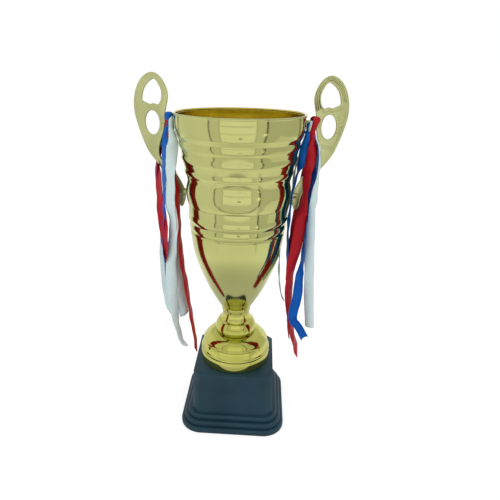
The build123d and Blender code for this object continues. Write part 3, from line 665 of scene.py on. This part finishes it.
def handle_right(metal, shadow):
    """The moulded handle: on its front, raised contours with painted shade lines between, dashes and cross
    bars.
    """
    plate = softened("handle_right", 0.55, 3, 30)
    front, back = -HANDLE_HALF, HANDLE_HALF
    beads = [ridge(between(LOOP_HOLE, LOOP_EDGE, share), 0.66, front) for share in (0.10, 0.42, 0.72)]
    beads += [
        ridge(LEAF_EDGE, 0.6, front),
        ridge(OUTER_RIB, 0.5, front),
        ridge(BACK_LINE, 0.4, back - 0.2),
    ]
    # thin beads laid in the grooves between the contours, which take the painted shade finish
    grooves = [ridge(between(LOOP_HOLE, LOOP_EDGE, share)[:6], 0.3, front) for share in (0.26, 0.57, 0.86)]
    for degrees in range(-22, 50, 12):
        angle = math.radians(degrees)
        start = (OVAL[0] + 7.9 * math.cos(angle), OVAL[1] + 12.2 * math.sin(angle))
        end = (OVAL[0] + 10.9 * math.cos(angle), OVAL[1] + 15.4 * math.sin(angle))
        beads.append(ridge([start, end], 0.5, front))
    for low in (44.6, 46.8):
        beads.append(ridge([(24.8, low + 1.2), (30.5, low), (36.4, low - 2.2)], 0.5, front))
    for part in (plate, *beads):
        part.data.materials.append(metal)
    for groove in grooves:
        groove.data.materials.append(shadow)
    clear_selection()
    for bead in (*beads, *grooves):
        bead.select_set(True)
    plate.select_set(True)
    bpy.context.view_layer.objects.active = plate
    bpy.ops.object.join()
    bpy.ops.object.shade_smooth_by_angle(angle=math.radians(40))
    return plate


def turned_about(piece):
    """A second copy of a moulding, turned half round the trophy's axis."""
    clear_selection()
    twin = bpy.data.objects.new(piece.name + "_twin", piece.data.copy())
    bpy.context.scene.collection.objects.link(twin)
    twin.select_set(True)
    bpy.context.view_layer.objects.active = twin
    twin.rotation_euler = (0, 0, math.pi)
    return twin


# ------------------------------------------------------------------ ribbons
def curl_for(share):
    """How far round, in radians, a strip must curl for its width to shrink to a share of the flat one."""
    low, high = 0.0, 3.0
    for _ in range(30):
        half = (low + high) / 2
        if math.sin(half) / max(half, 0.0001) > share:
            low = half
        else:
            high = half
    return max(low + high, 0.12)


def strip(*knots, phase=0.0, slant=0.0, point=0.0):
    """A limp band of satin through (x, y, z, visible width, how far it turns side on) knots, and its length.

    Phase shifts its ripples, slant cuts its ends at an angle and point narrows them.
    """
    run = [Vector(knot) for knot in flow(*knots, steps=7)]
    places = [Vector(knot[:3]) for knot in run]
    travelled = [0.0]
    for here, ahead in zip(places, places[1:]):
        travelled.append(travelled[-1] + (ahead - here).length)
    length = travelled[-1]
    bands = bmesh.new()
    layer = bands.loops.layers.uv.new("weave")
    rows = []
    for index, (knot, place) in enumerate(zip(run, places)):
        along = (places[min(index + 1, len(places) - 1)] - places[max(index - 1, 0)]).normalized()
        side = Vector((1, 0, 0)) - along * along.x
        side.normalize()
        flat_on = along.cross((FRONT_SEAT - place).normalized())
        share = min(flat_on.length * 1.5, 1.0)
        side = (side * (1 - share) + flat_on.normalized() * math.copysign(share, flat_on.x)).normalized()
        turned_by = knot[4] * math.acos(min(max(knot[3], 0.5) / RIBBON_WIDTH / 0.985, 1.0))
        side = Matrix.Rotation(turned_by, 3, along) @ side
        ahead = along.cross(side)
        curl = curl_for(min(knot[3] / max(math.cos(turned_by), 0.05) / RIBBON_WIDTH, 0.985))
        radius = RIBBON_WIDTH / curl
        left = min(travelled[index], length - travelled[index])
        end = max(0.0, 1.0 - left / RIBBON_END)
        taper = 1.0 - point * end
        row = []
        for column in range(RIBBON_COLUMNS + 1):
            across = 2 * column / RIBBON_COLUMNS - 1
            angle = across * curl / 2
            edge_ripple = 0.35 * math.sin(travelled[index] / 5.3 + phase + across * 1.3) * across * across
            ripple = edge_ripple + 0.22 * math.sin(travelled[index] / 2.9 + phase * 2 - across * 2.1)
            bow = radius * (1 - math.cos(angle)) - radius * (1 - math.cos(curl / 4))
            depth = bow + ripple
            cut = slant * across * end
            spot = place + side * radius * math.sin(angle) * taper + ahead * depth + along * cut
            row.append(bands.verts.new(spot * MM))
        rows.append(row)
    for index, (row, next_row) in enumerate(zip(rows, rows[1:])):
        for column in range(RIBBON_COLUMNS):
            face = bands.faces.new((row[column], row[column + 1], next_row[column + 1], next_row[column]))
            ups = (travelled[index], travelled[index], travelled[index + 1], travelled[index + 1])
            for corner, step, up in zip(face.loops, (0, 1, 1, 0), ups):
                corner[layer].uv = ((column + step) / RIBBON_COLUMNS, up / RIBBON_WIDTH)
            face.smooth = True
    mesh = bpy.data.meshes.new("strip")
    bands.to_mesh(mesh)
    bands.free()
    piece = bpy.data.objects.new("strip", mesh)
    bpy.context.scene.collection.objects.link(piece)
    clear_selection()
    piece.select_set(True)
    bpy.context.view_layer.objects.active = piece
    cloth = piece.modifiers.new("cloth", "SOLIDIFY")
    cloth.thickness = RIBBON_THICKNESS * MM
    cloth.offset = 0.0
    bpy.ops.object.modifier_apply(modifier="cloth")
    return piece, length


def over_peg(x, width, rise, reach=4.6, lean=0.0, back_under=True):
    """The way a ribbon goes up in front of the peg, over it in a loose loop and down behind it.

    With back_under it comes forward again below the peg.
    """
    way = (
        (x - lean, -reach - 0.8, PEG - 5.5, width, 0),
        (x, -reach - 0.5, PEG, width, 0),
        (x + lean, -reach * 0.7, PEG + rise * 0.8, width * 1.25, 0),
        (x + lean, 0, PEG + rise, width * 1.4, 0),
        (x, reach * 0.8, PEG + rise * 0.7, width * 1.2, 0),
        (x, reach + 0.6, PEG - 1.0, width, 0),
        (x - lean, reach * 0.5, PEG - 6.0, width * 0.9, 0),
        (x - lean, -reach * 0.4, PEG - 7.4, width * 0.9, 0),
    )
    return way if back_under else way[:6]


def hang(name, node, material, knots, **shape):
    """Makes one band of satin and hangs it on the handle."""
    piece, length = strip(*knots, **shape)
    piece.data.materials.append(material)
    finished(piece, name, "ribbon_" + node.split("_")[-1], node)


def left_ribbons(white, red, blue):
    """Three white tails, two red ones and two narrow blue ones, tied to the left peg."""
    hang("white_left_front", "ribbon_left_white", white, (
        (-49.6, -22, 86, 2.4, 0.3), (-54.1, -23, 93, 4.8, 1),
        (-57.7, -25, 108, 5.4, 1), (-59.6, -26, 123, 7.7, 1),
        (-61.0, -27, 145, 10.0, 1), (-62.2, -28, 172, 10.6, 0.3),
        (-60.8, -28, 199, 8.6, -1), (-58.6, -28, 224, 7.9, -1),
        (-61.3, -28, 242, 8.6, -1), (-60.7, -27, 256, 7.9, -1),
        (-60.5, -24, 273, 8.7, -1), (-59.4, -18, 289, 10.6, -0.3),
        (-59.7, -14, 296, 8.9, -0.3), (-60.8, -10, 302, 5.6, 0),
        *over_peg(-62.3, 3.2, 2.6, 5.6, back_under=False),
        (-66.5, 4.5, 298, 3.8, 0), (-71.1, 5.5, 284, 3.8, 1),
        (-73.6, 5.5, 266, 3.0, 1), (-73.2, 2, 245, 3.0, 1),
        (-72.8, -4, 220, 5.4, 1), (-72.7, -9, 193, 7.2, 1),
        (-72.0, -12, 167, 8.1, 1), (-70.0, -14, 140, 7.2, 1),
        (-68.1, -15, 125, 5.2, 1), (-65.7, -15, 117, 2.6, 1)),
        phase=0.4, point=0.7, slant=2.0)
    hang("white_left_inner", "ribbon_left_white", white, (
        (-51.7, -20, 121, 9.1, 0.2), (-53.0, -20, 142, 8.9, 1),
        (-53.8, -21, 156, 8.6, 1), (-55.6, -21, 176, 7.9, 1),
        (-57.5, -21, 203, 5.8, 1), (-60.9, -20, 238, 4.7, 1),
        (-62.2, -15, 269, 4.6, 1), (-62.3, -8.5, 291, 3.7, 1),
        (-61.9, -5.0, 306, 3.1, 0), (-61.5, -4.2, 311, 3.0, 0)),
        phase=2.1, slant=2.5)
    hang("red_left", "ribbon_left_red", red, (
        (-39.0, -22, 79, 1.7, 1), (-40.7, -24, 101, 3.1, 1),
        (-44.4, -25, 130, 3.5, 1), (-47.9, -26, 159, 4.2, 1),
        (-51.4, -26, 185, 4.0, 1), (-53.1, -25, 210, 3.6, 1),
        (-53.5, -25, 223, 3.6, 1), (-54.2, -25, 236, 4.7, 1),
        (-55.0, -23, 253, 5.3, 1), (-58.0, -18.5, 268, 4.8, 1),
        (-61.0, -11.5, 286, 4.2, 1), (-64.4, -7.0, 300, 3.0, 0),
        *over_peg(-65.3, 3.0, 3.2, 5.4, back_under=False),
        (-68.3, 5, 303, 3.4, 0), (-74.1, 5, 288, 4.4, 1), (-77.3, 2, 272, 4.2, 1), (-75.0, -8, 260, 4.9, 1),
        (-72.8, -16, 246, 5.9, 1), (-69.8, -24, 232, 7.6, 1),
        (-68.1, -27, 220, 8.3, 1), (-67.4, -28, 211, 7.1, 1),
        (-67.0, -28, 199, 4.9, 1), (-67.2, -27, 182, 1.6, 1)),
        phase=1.2, point=0.8)
    hang("blue_left", "ribbon_left_blue", blue, (
        (-67.6, -23, 181, 1.2, -1), (-69.6, -23, 203, 1.5, -1),
        (-69.9, -23, 222, 1.5, -1), (-68.9, -22, 240, 2.7, -1),
        (-68.0, -20, 254, 2.9, -1), (-68.5, -16, 271, 3.0, -1),
        (-68.8, -13, 283, 4.1, -1), (-68.4, -9.5, 293, 4.8, -1),
        (-67.3, -7.4, 301, 4.4, -0.4),
        *over_peg(-65.0, 4.6, 6.2, 5.6, back_under=False),
        (-68.2, 8, 304, 3.4, 0), (-75.1, 8, 287, 2.9, -1),
        (-78.3, 5, 273, 2.9, -1), (-77.3, -1, 257, 2.9, -1),
        (-75.3, -8, 236, 1.9, -1), (-72.7, -19, 214, 1.2, -1),
        (-70.7, -22, 196, 1.1, -1), (-69.0, -23, 170, 1.0, -1),
        (-66.4, -23, 142, 1.0, -1), (-64.8, -22, 120, 0.8, -1)),
        phase=3.0, point=0.6)


def right_ribbons(white, red, blue):
    """A white tail cut straight and its thin other end, two red tails and two blue ones, one folded over."""
    hang("red_right", "ribbon_right_red", red, (
        (66.5, -22, 78, 1.4, 1), (64.1, -23, 91, 4.1, 1),
        (59.9, -24, 106, 5.3, 1), (56.0, -25, 125, 5.2, 1),
        (53.1, -25, 150, 6.8, 1), (53.3, -25, 177, 7.8, 1),
        (56.6, -24, 202, 10.5, 0.2), (59.4, -23, 227, 10.3, 0),
        (60.0, -23, 236, 7.8, -1), (60.7, -22, 247, 5.6, -1),
        (61.4, -21, 261, 6.4, -1), (62.3, -18, 274, 8.4, -1),
        (65.7, -14, 285, 8.5, 0.3), (67.1, -10, 294, 7.6, 1), (66.1, -8, 301, 4.6, 0.3),
        *over_peg(66.8, 4.4, 5.2, 6.4, 1.6, back_under=False),
        (65.4, 6.0, 303, 3.3, 0), (64.9, 6, 286, 4.6, 1),
        (63.4, 5.5, 267, 6.6, 1), (60.9, 5.5, 250, 7.7, 1),
        (59.5, 5, 234, 8.7, 0.4), (57.5, -3, 222, 9.1, 0.3),
        (55.6, -9, 210, 8.3, 1), (53.9, -13, 195, 7.2, 1),
        (52.6, -16, 172, 4.9, 1), (53.0, -18, 142, 3.4, 1),
        (55.4, -18, 113, 1.8, 1), (56.9, -18, 98, 0.9, 1)),
        phase=0.9, point=0.8)
    hang("blue_right", "ribbon_right_blue", blue, (
        (50.4, -12, 170, 1.2, -1), (48.8, -13, 197, 1.6, -1),
        (48.2, -14, 223, 2.3, -1), (49.4, -14, 242, 1.5, -1),
        (50.9, -13, 256, 1.3, -1), (53.2, -12, 268, 1.6, -1),
        (55.8, -10.5, 276, 6.4, -1), (58.4, -10, 285, 9.2, -0.3),
        (60.0, -8.5, 295, 8.4, -0.3), (61.2, -6.5, 303, 5.0, -0.2),
        *over_peg(62.6, 2.6, 0.2, 4.0),
        (66.6, -4, 302, 2.0, 1), (70.8, -5.5, 294, 1.8, 1),
        (71.8, -8, 287, 2.2, 1), (71.3, -11, 279, 3.8, 1),
        (69.7, -13, 272, 5.6, 1), (67.1, -17, 257, 4.2, 1),
        (65.9, -19, 244, 2.7, 1), (65.3, -21, 230, 2.0, 1),
        (65.1, -23, 214, 2.2, 1), (64.5, -24, 199, 3.2, 1),
        (63.0, -27, 178, 6.2, 1), (61.6, -29, 162, 8.6, 0.3),
        (60.2, -30, 149, 8.8, 0), (58.3, -31, 139, 8.6, 0),
        (57.7, -31.4, 132, 8.2, 0), (58.9, -30.6, 126, 7.8, 0),
        (61.9, -30, 122, 7.6, 0), (65.4, -30, 117, 7.6, 0), (70.8, -30, 107, 7.8, 0)),
        phase=1.7)
    hang("white_right", "ribbon_right_white", white, (
        (77.2, -16, 111, 8.9, 0.2), (76.2, -16, 122, 9.1, 0.2),
        (73.9, -16, 146, 9.7, 0.4), (72.4, -16, 173, 9.2, 1),
        (71.1, -15, 199, 8.7, 0.4), (69.8, -14, 224, 8.6, 0.3),
        (71.0, -12, 242, 6.9, 1), (72.5, -9, 256, 5.0, 1),
        (73.5, -7, 267, 3.7, 1), (74.5, -5, 278, 2.0, 1),
        (73.4, -4.2, 291, 1.8, 1), (69.9, -4.2, 300, 1.8, 1),
        *over_peg(64.0, 3.0, 1.6, 4.8),
        (61.0, -2.6, 302, 2.3, 1), (57.6, -1.5, 290, 1.3, 1),
        (53.3, -1.5, 272, 0.9, 1), (49.6, -8, 244, 0.7, 1),
        (42.5, -11, 209, 0.8, 1), (42.6, -12, 181, 0.7, 1),
        (43.6, -12, 161, 0.7, 1), (45.6, -12, 149, 0.7, 1),
        (49.0, -12, 139, 0.7, 1)),
        phase=2.6, slant=-1.0)


# ------------------------------------------------------------------ making
add_camera()
add_world()
add_floor()
add_tent_floor()
add_tent()
add_lamp("soft_left", (-0.9, -0.7, 0.9), 0.8, 2.4)
add_lamp("soft_right", (0.9, -0.6, 0.9), 0.8, 2.4)
add_lamp("soft_top", (0.0, 0.1, 1.3), 1.0, 2.0)

gold = spun_gold()
# inner: gold with a painted deeper colour for the bowl's inside, standing in for light bouncing between its
# walls
inner = gold_painted_bounce()
plated = plated_gold_painted_reflection()
for make, node, slot, material in (
    (upper_bowl, "upper_bowl", "bowl_metal", gold),
    (lower_cup, "lower_cup", "bowl_metal", gold),
    (stem, "stem", "gold_plastic", plated),
    (bell, "bell", "gold_plastic", plated),
):
    piece = finished(make(), node + "_turned", slot, node)
    piece.data.materials.append(material)
    if material == gold:
        # the bowl's inside faces get the gold with painted bounce colour
        line_inside(piece, inner)

# the handle's second finish paints shade into the lines between its contours
right = handle_right(handle_gold(), painted_groove_shade())
left = turned_about(right)
for piece, node in ((right, "handle_right"), (left, "handle_left")):
    finished(piece, node + "_moulding", "handle_plastic", node)

shell = finished(softened("plinth_shell", 0.7), "plinth_moulding", "plinth_plastic", "plinth_shell")
shell.data.materials.append(plinth_plastic())
dress(zinc(), "tie_bolt", "cup_washer", "plinth_washer", "plinth_nut",
      "lower_screws", "upper_screws", "screw_washers")
dress(plain_grain("felt", (0.006, 0.02, 0.012), (0.012, 0.04, 0.022), 2500.0, 0.95, 0.0002), "felt_pad")
dress(plain_grain("board", (0.22, 0.15, 0.09), (0.36, 0.27, 0.17), 700.0, 0.8, 0.0001), "plinth_cover")
dress(plain_grain("filler", (0.48, 0.47, 0.44), (0.66, 0.65, 0.61), 300.0, 0.9, 0.0003), "ballast_block")
cloths = (
    satin("satin_white", (0.50, 0.62, 0.61), (0.66, 0.78, 0.77)),
    satin("satin_red", (0.30, 0.004, 0.010), (0.44, 0.008, 0.018)),
    satin("satin_blue", (0.001, 0.070, 0.34), (0.001, 0.125, 0.52)),
)
left_ribbons(*cloths)
right_ribbons(*cloths)
